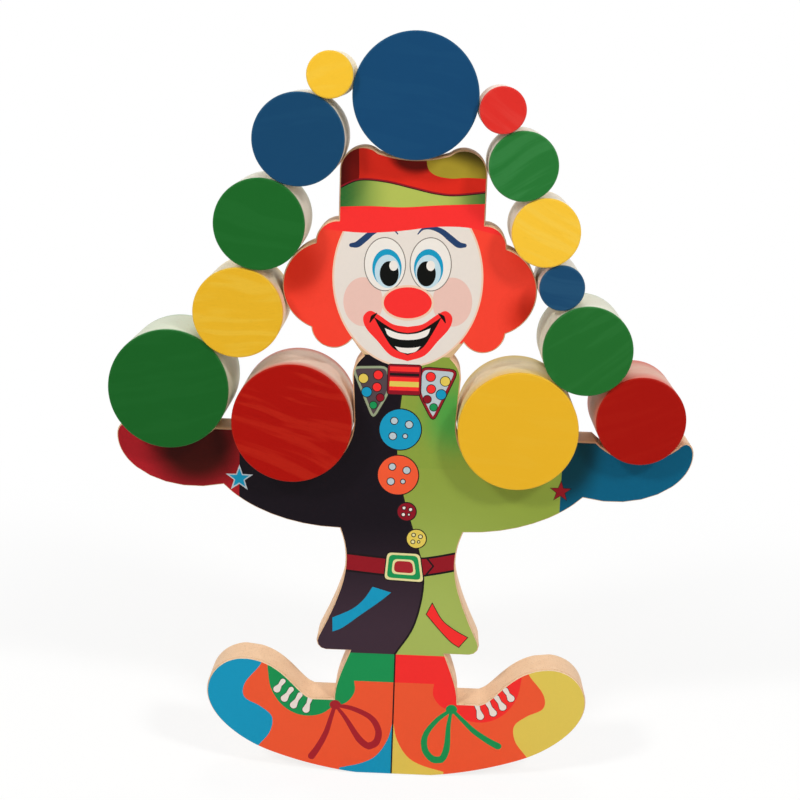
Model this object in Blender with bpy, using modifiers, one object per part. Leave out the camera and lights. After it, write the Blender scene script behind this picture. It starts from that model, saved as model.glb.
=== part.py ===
"""Balancing clown: a sawn and printed wooden figure that rocks on the soles of its shoes,
with loose round blocks stacked on its arms, against its hair and on its hat.

The figure faces -Y, its plane of symmetry is X = 0, and the flat under its soles lies on Z = 0.
Outline points are (x, z) in metres, and the outline is drawn for the right half, from the hat down.
"""

import math

import bmesh
import bpy
import numpy as np
from mathutils import Vector
from mathutils.geometry import interpolate_bezier

MM = 0.001

# Stock and fits
BOARD_HEIGHT = 296.8 * MM  # soles to the top of the hat; the coat takes up what the other heights leave
BOARD_THICKNESS = 18 * MM
BOARD_EDGE = 0.6 * MM  # sanded edge round both faces of the board
PRINT_THICKNESS = 0.4 * MM
PRINT_MARGIN = 0.3 * MM  # bare wood between the print and the sanded edge
BLOCK_LENGTH = 40 * MM
BLOCK_EDGE = 0.8 * MM  # sanded edge round both ends of a block
SEAT_GAP = 0.3 * MM  # clearance between a piece and what it rests on
SEAT_EASE = 0.4 * MM  # how much wider an arm's seat is than a large block, on the radius

# Round blocks, cut from dowel
LARGE_DIAMETER = 54 * MM
MEDIUM_DIAMETER = 40 * MM
SMALL_DIAMETER = 30 * MM
MINI_DIAMETER = 20 * MM
BLOCK_SPACING = 3 * MM  # between large blocks on one arm, each at the bottom of its seat

RED_LEAN = -8  # degrees towards +X from straight down, of the medium block in its wide seat
ROLL_START = 40  # degrees outwards from straight above, where a block starts to roll to its place

# How far forward of the board's middle each block was pushed as the stack was built; the rest lie even
BLOCK_FORWARD = {
    "block_large_green": -1 * MM,
    "block_large_red": 0.5 * MM,
    "block_medium_yellow": 0.5 * MM,
    "block_medium_green_left": 1.5 * MM,
    "block_medium_blue": 2 * MM,
    "block_mini_yellow": 3.5 * MM,
    "block_medium_red": -1 * MM,
    "block_medium_green_right": 0.5 * MM,
    "block_mini_blue": -0.5 * MM,
    "block_small_yellow": 1 * MM,
    "block_small_green": 2 * MM,
    "block_mini_red": 3.5 * MM,
}

# Shoes and sole
SOLE_RADIUS = 175 * MM  # the rocker
SOLE_FLAT = 36 * MM  # width of the flat that the figure stands on
SOLE_HALF_WIDTH = 60 * MM  # where the rocker runs into the toe
THROAT_HEIGHT = 38 * MM  # top of the shoe beside the ankle
THROAT_LENGTH = 10.5 * MM
ANKLE_HALF_WIDTH = 29.4 * MM
TOE_RADIUS = 17.4 * MM
TOE_RISE = 1.8 * MM  # centre of the toe's round above the throat
INSTEP_LENGTH = 32.5 * MM

# Legs and coat
LEG_LENGTH = 24.6 * MM
LEG_HALF_WIDTH = 22.5 * MM  # where the leg comes out of the coat
HEM_HALF_WIDTH = 38.2 * MM
HEM_RADIUS = 4.6 * MM
HEM_START = 32  # degrees above level, where the coat's side runs into the hem's corner
ARMPIT_HALF_WIDTH = 28.5 * MM
CHEST_HALF_WIDTH = 23.2 * MM
ARM_THICKNESS = 24.2 * MM  # armpit to the bottom of the arm's seat
SHOULDER_RISE = 48 * MM  # shoulder above the bottom of the arm's seat
SHOULDER_HALF_WIDTH = 24.4 * MM

# Hands
HAND_RISE = 13.5 * MM  # hand's seat above the arm's seat
RIDGE_DROP = 6 * MM  # ridge between the seats, below the centre of the arm's seat
WRIST_DROP = 18.8 * MM  # corner under the wrist, below the hand's seat
WRIST_INSET = 23.6 * MM  # that corner, inwards from the middle of the hand's seat
FINGERTIP_REACH = 25.2 * MM  # outwards from the middle of the hand's seat
FINGERTIP_RISE = 3.3 * MM
FINGERTIP_ANGLE = 45  # degrees from straight down, where the seat runs into the fingertip

# Head, hair and hat
NECK_RISE = 9.5 * MM  # neck above the shoulder
NECK_HALF_WIDTH = 19.7 * MM
HAIR_RISE = 30.8 * MM  # centre of the big curl above the neck
HAIR_HALF_SPACING = 36.3 * MM
BIG_CURL_RADIUS = 20.2 * MM
TOP_CURL_RADIUS = 10 * MM
TOP_CURL_RISE = 19.4 * MM
LOW_CURL_RADIUS = 10.2 * MM
LOW_CURL_DROP = 17.8 * MM
LOW_CURL_INSET = 3 * MM
LOW_CURL_END = -145  # degrees, where the low curl runs into the neck
HAT_RISE = 56.7 * MM  # bottom of the hat's seat above the big curl's centre
HAT_HALF_WIDTH = 32.2 * MM
HAT_CORNER_RADIUS = 10.2 * MM
HAT_CORNER_RISE = 4.8 * MM  # top of the hat's corners above its seat
HAT_SEAT_RADIUS = 50 * MM

# Fullness of the free curves: how far a handle reaches, as a share of the step that its curve takes
FINGERTIP_FULLNESS = 0.45
PALM_FULLNESS = 0.72
PALM_BELLY = (1.15, 0.28)  # along and below the palm
SLEEVE_SLOPE = 0.56
SLEEVE_SWEEP = 1.25
WAIST_TUCK = (0.62, 0.25)  # inwards and down from the armpit
COAT_SWING = (1.25, 0.42)  # inwards and up from the hem
SHOULDER_SLOPE = 0.4
LEG_TAPER = (0.12, 0.32)
ANKLE_TAPER = 0.33
INSTEP_DIP = 0.22
INSTEP_SWEEP = 0.57
TOE_DROP = 0.75
SOLE_SWEEP = 0.85

# Fineness of the outline and of the blocks
FACET = 2.6 * MM
BLOCK_FACET = 3.6 * MM
CURVE_POINTS = 9

# Heights that follow, from the hat down and from the soles up
HAT_SEAT_HEIGHT = BOARD_HEIGHT - HAT_CORNER_RISE
HAIR_HEIGHT = HAT_SEAT_HEIGHT - HAT_RISE
NECK_HEIGHT = HAIR_HEIGHT - HAIR_RISE
SHOULDER_HEIGHT = NECK_HEIGHT - NECK_RISE
ARM_SEAT_HEIGHT = SHOULDER_HEIGHT - SHOULDER_RISE
HAND_SEAT_HEIGHT = ARM_SEAT_HEIGHT + HAND_RISE
ARMPIT_HEIGHT = ARM_SEAT_HEIGHT - ARM_THICKNESS
HEM_HEIGHT = THROAT_HEIGHT + LEG_LENGTH
COAT_LENGTH = ARMPIT_HEIGHT - HEM_HEIGHT

# Seats that follow
SEAT_RADIUS = LARGE_DIAMETER / 2 + SEAT_EASE
ARM_SEAT_X = CHEST_HALF_WIDTH + SEAT_RADIUS
HAND_SEAT_X = ARM_SEAT_X + math.sqrt((LARGE_DIAMETER + BLOCK_SPACING) ** 2 - HAND_RISE**2)

# Wood, print and paint, as sRGB
WOOD_PALE = "E9CFA6"
PRINT_PAPER = "EFE6DB"
PAINTS = {"blue": "174872", "green": "1E6629", "red": "B81A10", "yellow": "EBB62C"}


def clear_scene():
    for item in list(bpy.data.objects):
        bpy.data.objects.remove(item, do_unlink=True)


def linear_colour(hex_code):
    channels = [int(hex_code[i : i + 2], 16) / 255 for i in (0, 2, 4)]
    return [c / 12.92 if c <= 0.04045 else ((c + 0.055) / 1.055) ** 2.4 for c in channels] + [1]


def finish(name, hex_code, roughness):
    material = bpy.data.materials.new(name)
    material.use_nodes = True
    shader = material.node_tree.nodes["Principled BSDF"]
    shader.inputs["Base Color"].default_value = linear_colour(hex_code)
    shader.inputs["Roughness"].default_value = roughness
    shader.inputs["Metallic"].default_value = 0.0
    return material


def arc(centre, radius, start, end):
    """Points on a circle from one angle to another, in degrees."""
    count = max(2, math.ceil(math.radians(abs(end - start)) * radius / FACET))
    angles = [math.radians(start + (end - start) * i / count) for i in range(count + 1)]
    return [centre + radius * Vector((math.cos(a), math.sin(a))) for a in angles]


def angle_of(centre, point):
    return math.degrees(math.atan2(point.y - centre.y, point.x - centre.x))


def curve(start, start_handle, end_handle, end):
    """Points on a cubic curve; each handle is an offset from its own end."""
    return list(interpolate_bezier(start, start + start_handle, end + end_handle, end, CURVE_POINTS))


def crossings(centre, radius, other, other_radius):
    """Where two circles cross: left, then right, of the way from one centre to the other.
    Circles that just miss each other give the point between them."""
    apart = other - centre
    along = (apart.length_squared + radius**2 - other_radius**2) / (2 * apart.length)
    across = math.sqrt(max(radius**2 - along**2, 0))
    way = apart.normalized()
    foot = centre + way * along
    side = Vector((-way.y, way.x)) * across
    return foot + side, foot - side


def hat_side():
    """From the middle of the hat's seat, over the corner and down the hat's side."""
    seat = Vector((0, HAT_SEAT_HEIGHT + HAT_SEAT_RADIUS))
    corner_top = Vector((HAT_HALF_WIDTH, HAT_SEAT_HEIGHT + HAT_CORNER_RISE))
    corner = corner_top - Vector((HAT_CORNER_RADIUS, HAT_CORNER_RADIUS))
    meet = crossings(seat, HAT_SEAT_RADIUS, corner, HAT_CORNER_RADIUS)[1]
    points = arc(seat, HAT_SEAT_RADIUS, -90, angle_of(seat, meet))
    return points + arc(corner, HAT_CORNER_RADIUS, angle_of(corner, meet), 0)


def hair_side():
    """The three curls beside the face, down to the neck."""
    top = Vector((HAT_HALF_WIDTH, HAIR_HEIGHT + TOP_CURL_RISE))
    big = Vector((HAIR_HALF_SPACING, HAIR_HEIGHT))
    low = Vector((HAIR_HALF_SPACING - LOW_CURL_INSET, HAIR_HEIGHT - LOW_CURL_DROP))
    upper = crossings(top, TOP_CURL_RADIUS, big, BIG_CURL_RADIUS)[0]
    lower = crossings(big, BIG_CURL_RADIUS, low, LOW_CURL_RADIUS)[0]
    points = arc(top, TOP_CURL_RADIUS, 90, angle_of(top, upper))
    points += arc(big, BIG_CURL_RADIUS, angle_of(big, upper), angle_of(big, lower))
    return points + arc(low, LOW_CURL_RADIUS, angle_of(low, lower), LOW_CURL_END)


def shoulder_side():
    """Neck and shoulder, down to the arm's seat."""
    neck = Vector((NECK_HALF_WIDTH, NECK_HEIGHT))
    shoulder = Vector((SHOULDER_HALF_WIDTH, SHOULDER_HEIGHT))
    bend = NECK_RISE / 2
    return curve(neck, Vector((bend, -bend)) * SHOULDER_SLOPE, Vector((0, bend)), shoulder)


def arm_top():
    """The arm's seat, the ridge beside it and the hand's seat."""
    arm = Vector((ARM_SEAT_X, ARM_SEAT_HEIGHT + SEAT_RADIUS))
    hand = Vector((HAND_SEAT_X, HAND_SEAT_HEIGHT + SEAT_RADIUS))
    arm_end = math.degrees(math.asin(-RIDGE_DROP / SEAT_RADIUS))
    hand_start = math.degrees(math.asin((RIDGE_DROP + HAND_RISE) / SEAT_RADIUS)) - 180
    points = arc(arm, SEAT_RADIUS, -180, arm_end)
    return points + arc(hand, SEAT_RADIUS, hand_start, FINGERTIP_ANGLE - 90)


def hand_and_sleeve(seat_end):
    """Round the fingertip from the end of the hand's seat, and back along the underside to the armpit."""
    seat = Vector((HAND_SEAT_X, HAND_SEAT_HEIGHT))
    tip = seat + Vector((FINGERTIP_REACH, FINGERTIP_RISE))
    wrist = seat - Vector((WRIST_INSET, WRIST_DROP))
    armpit = Vector((ARMPIT_HALF_WIDTH, ARMPIT_HEIGHT))
    rise = seat_end.y - tip.y
    palm = tip.y - wrist.y
    drop = wrist.y - armpit.y
    belly = Vector((PALM_BELLY[0], -PALM_BELLY[1])) * palm
    slope = Vector((-drop, -drop)) * SLEEVE_SLOPE
    points = curve(seat_end, Vector((rise, rise)) * FINGERTIP_FULLNESS, Vector((0, rise)), tip)
    points += curve(tip, Vector((0, -palm * PALM_FULLNESS)), belly, wrist)
    return points + curve(wrist, slope, Vector((drop * SLEEVE_SWEEP, 0)), armpit)


def coat_side():
    """The flared coat, from the armpit to the hem."""
    armpit = Vector((ARMPIT_HALF_WIDTH, ARMPIT_HEIGHT))
    hem = Vector((HEM_HALF_WIDTH - HEM_RADIUS, HEM_HEIGHT + HEM_RADIUS))
    corner = arc(hem, HEM_RADIUS, HEM_START, -90)
    flare = HEM_HALF_WIDTH - ARMPIT_HALF_WIDTH
    tuck = Vector((-flare * WAIST_TUCK[0], -COAT_LENGTH * WAIST_TUCK[1]))
    swing = Vector((-flare * COAT_SWING[0], COAT_LENGTH * COAT_SWING[1]))
    return curve(armpit, tuck, swing, corner[0]) + corner


def leg_and_shoe():
    """Leg, shoe throat, instep, toe and rocker sole, to the edge of the flat."""
    leg = Vector((LEG_HALF_WIDTH, HEM_HEIGHT))
    ankle = Vector((ANKLE_HALF_WIDTH, THROAT_HEIGHT))
    throat = ankle + Vector((THROAT_LENGTH, 0))
    toe = arc(throat + Vector((INSTEP_LENGTH, TOE_RISE)), TOE_RADIUS, 90, 0)
    rocker = Vector((0, math.sqrt(SOLE_RADIUS**2 - (SOLE_FLAT / 2) ** 2)))
    turn = math.asin(SOLE_HALF_WIDTH / SOLE_RADIUS)
    flat_turn = math.asin(SOLE_FLAT / 2 / SOLE_RADIUS)
    sole = arc(rocker, SOLE_RADIUS, math.degrees(turn) - 90, math.degrees(flat_turn) - 90)
    taper = Vector((LEG_TAPER[0], -LEG_TAPER[1])) * LEG_LENGTH
    dip = Vector((INSTEP_LENGTH * INSTEP_DIP, TOE_RISE))
    sweep = Vector((math.cos(turn), math.sin(turn))) * TOE_RADIUS * SOLE_SWEEP
    points = curve(leg, taper, Vector((0, LEG_LENGTH * ANKLE_TAPER)), ankle)
    points += curve(throat, dip, Vector((-INSTEP_LENGTH * INSTEP_SWEEP, 0)), toe[0]) + toe
    points += curve(toe[-1], Vector((0, -TOE_RADIUS * TOE_DROP)), sweep, sole[0])
    return points + sole


def board_outline():
    """The whole outline, clockwise from the middle of the hat."""
    arm = arm_top()
    half = hat_side() + hair_side() + shoulder_side() + arm
    half += hand_and_sleeve(arm[-1]) + coat_side() + leg_and_shoe()
    right = half[:1]
    for point in half[1:]:
        if (point - right[-1]).length > SEAT_GAP:
            right.append(point)
    left = [Vector((-p.x, p.y)) for p in reversed(right[1:])]
    return right + left


def inset(outline, distance):
    """The outline moved inwards, which is to the right of its direction."""
    moved = []
    for before, point, after in zip(outline[-1:] + outline[:-1], outline, outline[1:] + outline[:1]):
        inward_before = Vector(((point - before).y, -(point - before).x)).normalized()
        inward_after = Vector(((after - point).y, -(after - point).x)).normalized()
        middle = inward_before + inward_after
        moved.append(point + middle * (2 * distance / middle.length_squared))
    return moved


def flat_solid(name, outline, thickness, front):
    """A sheet with this outline, whose front face lies at Y = front."""
    data = bpy.data.curves.new(name, "CURVE")
    data.dimensions = "2D"
    data.fill_mode = "BOTH"
    data.extrude = thickness / 2
    spline = data.splines.new("POLY")
    spline.points.add(len(outline) - 1)
    for spline_point, point in zip(spline.points, outline):
        spline_point.co = (point.x, point.y, 0, 1)
    spline.use_cyclic_u = True
    drawn = bpy.data.objects.new(name + "_outline", data)
    bpy.context.scene.collection.objects.link(drawn)
    drawn.rotation_euler = (math.pi / 2, 0, 0)
    drawn.location = (0, front + thickness / 2, 0)
    evaluated = drawn.evaluated_get(bpy.context.evaluated_depsgraph_get())
    mesh = bpy.data.meshes.new_from_object(evaluated)
    mesh.transform(evaluated.matrix_world)
    mesh.name = name
    bpy.data.objects.remove(drawn, do_unlink=True)
    welded = bmesh.new()
    welded.from_mesh(mesh)
    bmesh.ops.remove_doubles(welded, verts=welded.verts, dist=MM / 100)
    bmesh.ops.recalc_face_normals(welded, faces=welded.faces)
    welded.to_mesh(mesh)
    welded.free()
    return bpy.data.objects.new(name, mesh)


def ease_face_edges(board):
    """Sand the edges between each face of the board and its sawn rim."""
    mesh = board.data
    weights = mesh.attributes.new("bevel_weight_edge", "FLOAT", "EDGE")
    facing = {}
    for polygon in mesh.polygons:
        for key in polygon.edge_keys:
            facing.setdefault(key, []).append(abs(polygon.normal.y))
    for edge in mesh.edges:
        weights.data[edge.index].value = max(facing[edge.key]) - min(facing[edge.key])
    bevel = board.modifiers.new("sanded_edge", "BEVEL")
    bevel.width = BOARD_EDGE
    bevel.segments = 2
    bevel.limit_method = "WEIGHT"


def make_board(collection, origin, outline):
    board = flat_solid("clown_board", outline, BOARD_THICKNESS, -BOARD_THICKNESS / 2)
    collection.objects.link(board)
    board.parent = origin
    ease_face_edges(board)
    board.data.materials.append(finish("bare_wood", WOOD_PALE, 0.6))


def make_print(collection, origin, outline):
    front = -BOARD_THICKNESS / 2 - SEAT_GAP - PRINT_THICKNESS
    sheet = flat_solid("printed_face", inset(outline, BOARD_EDGE + PRINT_MARGIN), PRINT_THICKNESS, front)
    collection.objects.link(sheet)
    sheet.parent = origin
    sheet.data.materials.append(finish("printed_paper", PRINT_PAPER, 0.4))


def make_block(collection, origin, name, centre, forward, radius, paint):
    """A round block whose axis runs front to back through its own origin."""
    bpy.ops.mesh.primitive_cylinder_add(
        vertices=4 * math.ceil(2 * math.pi * radius / (4 * BLOCK_FACET)),
        radius=radius,
        depth=BLOCK_LENGTH,
        location=(centre.x, -forward, centre.y),
        rotation=(math.pi / 2, 0, 0),
    )
    block = bpy.context.object
    block.name = name
    block.data.name = name
    for holder in list(block.users_collection):
        holder.objects.unlink(block)
    collection.objects.link(block)
    block.parent = origin
    bevel = block.modifiers.new("sanded_edge", "BEVEL")
    bevel.width = BLOCK_EDGE
    bevel.segments = 2
    bevel.limit_method = "ANGLE"
    bevel.angle_limit = math.radians(60)
    block.data.shade_smooth()
    block.data.set_sharp_from_angle(angle=math.radians(35))
    block.data.materials.append(paint)


def seated(x, height, seat_radius, diameter, lean=0):
    """A block's circle, (centre, radius), in a seat whose lowest point is (x, height)."""
    play = seat_radius - diameter / 2 - SEAT_GAP
    turn = math.radians(lean)
    seat = Vector((x, height + seat_radius))
    return seat + play * Vector((math.sin(turn), -math.cos(turn))), diameter / 2


def distance_to_outline(point, outline):
    starts = np.array([tuple(p) for p in outline])
    runs = np.roll(starts, -1, axis=0) - starts
    shares = ((np.array(point) - starts) * runs).sum(1) / (runs**2).sum(1)
    nearest = starts + runs * np.clip(shares, 0, 1)[:, None]
    return float(np.linalg.norm(np.array(point) - nearest, axis=1).min())


def rolled(diameter, under, placed, outline, side):
    """A block's circle after it has rolled over the block under it, towards the figure,
    until it first touches the figure or another block. Side is -1 on the left and 1 on the right."""
    radius = diameter / 2
    reach = under[1] + radius + SEAT_GAP
    lean = math.radians(ROLL_START)
    while True:
        centre = under[0] + reach * Vector((side * math.sin(lean), math.cos(lean)))
        gaps = [(centre - other[0]).length - other[1] for other in placed if other is not under]
        gaps.append(distance_to_outline(centre, outline))
        free = min(gaps) - radius - SEAT_GAP
        if free < MM / 1000:
            return centre, radius
        lean -= free / reach


def stack_blocks(outline):
    """Every block's circle by name, in the order in which the stack is built."""
    hat = (0, HAT_SEAT_HEIGHT, HAT_SEAT_RADIUS)
    left_arm = (-ARM_SEAT_X, ARM_SEAT_HEIGHT, SEAT_RADIUS)
    right_arm = (ARM_SEAT_X, ARM_SEAT_HEIGHT, SEAT_RADIUS)
    left_hand = (-HAND_SEAT_X, HAND_SEAT_HEIGHT, SEAT_RADIUS)
    right_hand = (HAND_SEAT_X, HAND_SEAT_HEIGHT, SEAT_RADIUS)
    blocks = {
        "block_large_blue": seated(*hat, LARGE_DIAMETER),
        "block_large_red": seated(*left_arm, LARGE_DIAMETER),
        "block_large_green": seated(*left_hand, LARGE_DIAMETER),
        "block_large_yellow": seated(*right_arm, LARGE_DIAMETER),
        "block_medium_red": seated(*right_hand, MEDIUM_DIAMETER, RED_LEAN),
    }
    steps = [
        ("block_medium_yellow", MEDIUM_DIAMETER, "block_large_green", -1),
        ("block_medium_green_left", MEDIUM_DIAMETER, "block_medium_yellow", -1),
        ("block_medium_blue", MEDIUM_DIAMETER, "block_medium_green_left", -1),
        ("block_mini_yellow", MINI_DIAMETER, "block_medium_blue", -1),
        ("block_medium_green_right", MEDIUM_DIAMETER, "block_medium_red", 1),
        ("block_mini_blue", MINI_DIAMETER, "block_medium_green_right", 1),
        ("block_small_yellow", SMALL_DIAMETER, "block_mini_blue", 1),
        ("block_small_green", SMALL_DIAMETER, "block_small_yellow", 1),
        ("block_mini_red", MINI_DIAMETER, "block_small_green", 1),
    ]
    for name, diameter, under, side in steps:
        blocks[name] = rolled(diameter, blocks[under], list(blocks.values()), outline, side)
    return blocks


def main():
    clear_scene()
    collection = bpy.data.collections.new("balancing_clown")
    bpy.context.scene.collection.children.link(collection)
    origin = bpy.data.objects.new("balancing_clown_origin", None)
    collection.objects.link(origin)
    outline = board_outline()
    make_board(collection, origin, outline)
    make_print(collection, origin, outline)
    paints = {name: finish(name + "_paint", code, 0.45) for name, code in PAINTS.items()}
    for name, (centre, radius) in stack_blocks(outline).items():
        colour = name.split("_")[2]
        forward = BLOCK_FORWARD.get(name, 0)
        make_block(collection, origin, name, centre, forward, radius, paints[colour])


main()
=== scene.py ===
# %% [markdown]
# # A balancing clown toy
# The real toy is a flat wooden clown on a rocker sole, with a colour print glued to its front, and
# fourteen loose round blocks that are stacked on its arms, hair and hat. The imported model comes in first,
# as a fixed frame: every piece below takes its place and size from it, so nothing has to be fitted by
# eye.

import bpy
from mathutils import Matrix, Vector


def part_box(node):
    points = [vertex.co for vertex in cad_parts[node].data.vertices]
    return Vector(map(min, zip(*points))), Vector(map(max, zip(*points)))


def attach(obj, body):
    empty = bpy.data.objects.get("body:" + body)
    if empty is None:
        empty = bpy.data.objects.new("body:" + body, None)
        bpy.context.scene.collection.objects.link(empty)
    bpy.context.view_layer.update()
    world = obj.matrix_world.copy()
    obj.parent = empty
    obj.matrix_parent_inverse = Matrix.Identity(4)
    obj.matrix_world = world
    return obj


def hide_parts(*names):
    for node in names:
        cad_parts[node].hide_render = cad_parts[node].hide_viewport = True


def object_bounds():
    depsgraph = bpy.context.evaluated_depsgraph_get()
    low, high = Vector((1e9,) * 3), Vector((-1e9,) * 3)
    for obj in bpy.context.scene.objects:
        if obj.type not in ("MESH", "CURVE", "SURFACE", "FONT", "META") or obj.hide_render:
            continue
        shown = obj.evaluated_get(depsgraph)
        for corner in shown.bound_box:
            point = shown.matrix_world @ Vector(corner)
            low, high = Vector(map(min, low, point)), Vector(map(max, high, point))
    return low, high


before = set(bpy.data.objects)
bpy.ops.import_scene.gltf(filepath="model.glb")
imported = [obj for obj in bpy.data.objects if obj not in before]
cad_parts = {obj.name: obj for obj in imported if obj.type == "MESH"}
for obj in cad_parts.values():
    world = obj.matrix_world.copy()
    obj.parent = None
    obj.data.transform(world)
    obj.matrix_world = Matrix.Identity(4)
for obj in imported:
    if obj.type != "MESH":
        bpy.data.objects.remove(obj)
cad_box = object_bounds()
print("frame:", len(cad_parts), "nodes, from", tuple(cad_box[0]), "to", tuple(cad_box[1]))

# %% [markdown]
# ## Shared helpers
# Blender works in metres and a toymaker in millimetres, so one value turns the one into the other.
# Colours are written as a painter reads them off a swatch, in sRGB hex, and shaders need them linear. A
# material here is a small graph of nodes, and each node needs the same three things: a kind, its
# settings, and what goes into its sockets. One function adds any of them.

# %% Units, colours and nodes
import math

import bmesh
import bpy
import numpy as np
from mathutils import Matrix, Quaternion, Vector
from mathutils.geometry import delaunay_2d_cdt

MM = 0.001


def linear(hex_colour):
    """An sRGB hex colour as the linear RGBA value that a socket takes."""
    channels = [int(hex_colour[i:i + 2], 16) / 255 for i in (1, 3, 5)]
    return [c / 12.92 if c <= 0.04045 else ((c + 0.055) / 1.055) ** 2.4 for c in channels] + [1.0]


def add_node(tree, kind, inputs, output=0, **settings):
    """Adds a node with its settings and links, and returns one of its outputs, if it has any.

    An input is a value, a hex colour, or the output of another node.
    """
    node = tree.nodes.new(kind)
    for name, value in settings.items():
        setattr(node, name, value)
    for socket, value in inputs.items():
        if isinstance(value, bpy.types.NodeSocket):
            tree.links.new(value, node.inputs[socket])
        else:
            node.inputs[socket].default_value = linear(value) if isinstance(value, str) else value
    return node.outputs[output] if node.outputs else None


def new_material(name):
    """An empty node material, its tree, and the coordinates of the piece that wears it."""
    material = bpy.data.materials.new(name)
    material.use_nodes = True
    tree = material.node_tree
    tree.nodes.clear()
    return material, tree, add_node(tree, "ShaderNodeTexCoord", {}, "Object")


print("one millimetre is", MM, "Blender units")

# %% [markdown]
# ## Camera
# The photograph looks almost straight at the toy, from a little above and from near by: the tops of the
# shoes and of the lower blocks show, while the topmost blocks are seen face on. A camera two thirds of a
# metre away, tilted down at the middle of the toy, gives that, and a lens that is longer than a normal
# one fills the picture from there. The camera is rolled a little, because the toy leans in the picture.

# %% Camera
VIEW_AZIMUTH = math.radians(1.0)
VIEW_ELEVATION = math.radians(13.2)
VIEW_DISTANCE = 0.667
VIEW_ROLL = math.radians(1.9)
LENS_MM = 65.7
AIM_SHIFT = Vector((-1.9, 0.0, 9.5)) * MM

middle = (cad_box[0] + cad_box[1]) / 2
aim = middle + AIM_SHIFT
towards_camera = Vector((math.sin(VIEW_AZIMUTH) * math.cos(VIEW_ELEVATION),
                         -math.cos(VIEW_AZIMUTH) * math.cos(VIEW_ELEVATION),
                         math.sin(VIEW_ELEVATION)))
camera = bpy.data.objects.new("camera", bpy.data.cameras.new("camera"))
camera.data.lens = LENS_MM
camera.location = aim + towards_camera * VIEW_DISTANCE
level_view = (-towards_camera).to_track_quat("-Z", "Y")
camera.rotation_mode = "QUATERNION"
camera.rotation_quaternion = level_view @ Quaternion((0, 0, 1), VIEW_ROLL)
bpy.context.scene.collection.objects.link(camera)
bpy.context.scene.camera = camera
bpy.context.scene.view_settings.view_transform = "Standard"
print("camera at", tuple(round(v, 3) for v in camera.location), "with a lens of", LENS_MM, "mm")

# %% [markdown]
# ## Light
# A toy is photographed in a white room under soft lamps. Two of them, high in front on either side, give
# each block two soft shadows, which are darkest where they overlap, just under the block. A third one, high
# behind, lights the tops of the blocks past the clown's head. Together with the room they light a surface
# that faces the camera at a level where its colour renders about as it is written.

# %% Lamps
LAMPS = (
    # name, place and width in metres, power in watts
    ("left_lamp", (-1.4, -1.55, 1.8), 0.4, 24.5),
    ("right_lamp", (1.4, -1.55, 1.8), 0.4, 24.5),
    ("back_lamp", (0.0, 0.9, 1.9), 0.6, 8.0),
)

for name, place, width, watts in LAMPS:
    data = bpy.data.lights.new(name, "AREA")
    data.size = width
    data.energy = watts
    lamp = bpy.data.objects.new(name, data)
    lamp.location = place
    lamp.rotation_euler = (middle - lamp.location).to_track_quat("-Z", "Y").to_euler()
    bpy.context.scene.collection.objects.link(lamp)
    print(lamp.name, watts, "W, facing the middle of the toy")

# %% [markdown]
# ## Room
# The room's white walls give an even light of their own. They could be built, but a world of one colour
# does the same with less. The picture sees it as plain white, straight or in a gloss or through
# something clear, and the toy gets only as much light from it as leaves the lamps their shadows.

# %% Room
ROOM_STRENGTH = 0.36


def picture_ray(tree):
    """1 for a ray that makes up the picture: from the camera, off a gloss or through a clear piece."""
    straight, mirrored, through = (
        add_node(tree, "ShaderNodeLightPath", {}, "Is " + kind + " Ray")
        for kind in ("Camera", "Glossy", "Transmission"))
    either = add_node(tree, "ShaderNodeMath", {0: straight, 1: mirrored}, operation="MAXIMUM")
    return add_node(tree, "ShaderNodeMath", {0: either, 1: through}, operation="MAXIMUM")


world = bpy.data.worlds.new("white_room")
world.use_nodes = True
room = world.node_tree
room.nodes.clear()
strength = add_node(room, "ShaderNodeMapRange", {
    "Value": picture_ray(room), "To Min": ROOM_STRENGTH, "To Max": 1.0})
walls = add_node(room, "ShaderNodeBackground", {"Color": "#FFFFFF", "Strength": strength})
add_node(room, "ShaderNodeOutputWorld", {"Surface": walls})
bpy.context.scene.world = world
print("room:", world.name, "with a strength of", ROOM_STRENGTH)

# %% [markdown]
# ## Floor
# The toy stands on matt white card, pressed from pulp, which shows as plain white with a faint tooth and
# the toy's shadow. A floor that is only lit would turn grey away from the lamps. So the picture sees most
# of it as plain white, all of it further off, and the rest near the toy keeps the shadow.

# %% Floor
FLOOR_WIDTH = 8.0
SHADOW_SHARE = 0.20                     # how much of the shadow beside the toy the camera sees
SHADOW_NEAR, SHADOW_FAR = 0.16, 0.60    # it fades out between these distances from the toy, in metres
TOOTH_SIZE = 0.8 * MM                   # real card is finer; drawn this coarse so that it shows
MIX_A, MIX_B, MIX_RESULT = 6, 7, 2      # a Mix node's colour sockets, whose names repeat for each data type


def white_card():
    """Matt white card: a rough surface with a faint tooth."""
    material, tree, place = new_material("matt_white_card")
    tooth = add_node(tree, "ShaderNodeTexNoise", {"Vector": place, "Scale": 1 / TOOTH_SIZE})
    tint = add_node(tree, "ShaderNodeMix", {0: tooth, MIX_A: "#F4F4F2", MIX_B: "#FAFAF8"}, MIX_RESULT,
                    data_type="RGBA")
    card = add_node(tree, "ShaderNodeBsdfDiffuse", {"Color": tint, "Roughness": 0.9})
    white = add_node(tree, "ShaderNodeEmission", {"Color": "#FFFFFF", "Strength": 1.0})
    distance = add_node(tree, "ShaderNodeVectorMath", {0: place}, "Value", operation="LENGTH")
    plain = add_node(tree, "ShaderNodeMapRange", {
        "Value": distance, "From Min": SHADOW_NEAR, "From Max": SHADOW_FAR, "To Min": 1 - SHADOW_SHARE,
    }, interpolation_type="SMOOTHSTEP")
    share = add_node(tree, "ShaderNodeMath", {0: picture_ray(tree), 1: plain}, operation="MULTIPLY")
    surface = add_node(tree, "ShaderNodeMixShader", {0: share, 1: card, 2: white})
    add_node(tree, "ShaderNodeOutputMaterial", {"Surface": surface})
    return material


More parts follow.
